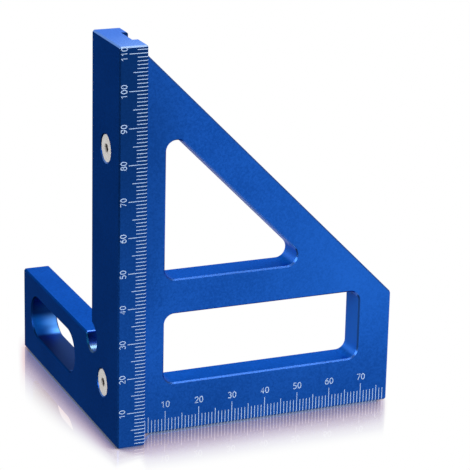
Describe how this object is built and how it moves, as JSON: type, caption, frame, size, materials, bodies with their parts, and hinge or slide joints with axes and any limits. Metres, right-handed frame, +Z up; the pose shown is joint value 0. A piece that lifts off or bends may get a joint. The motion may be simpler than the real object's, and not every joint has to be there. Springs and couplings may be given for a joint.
{
  "type": "set square",
  "caption": "Rigid 45 degree set square: a windowed plate let into a rebate down the side of an L-shaped stock with a slotted foot, held by countersunk screws.",
  "frame": {"origin": "middle of the footprint's bounding box, on the floor the square stands on", "axes": "+Z up along the bar, +X along the plate away from the stock, +Y from the graduated front towards the foot's far end"},
  "size_m": [0.085, 0.083, 0.112],
  "materials": {
    "blue_anodised": "satin bead-blasted blue anodising",
    "screw_steel": "bright zinc-plated steel",
    "scale_white": "matt white scale marks and numbers"
  },
  "bodies": {
    "root": {"stock": "blue_anodised", "plate": "blue_anodised", "upper_screw": "screw_steel", "lower_screw": "screw_steel"}
  },
  "joints": []
}
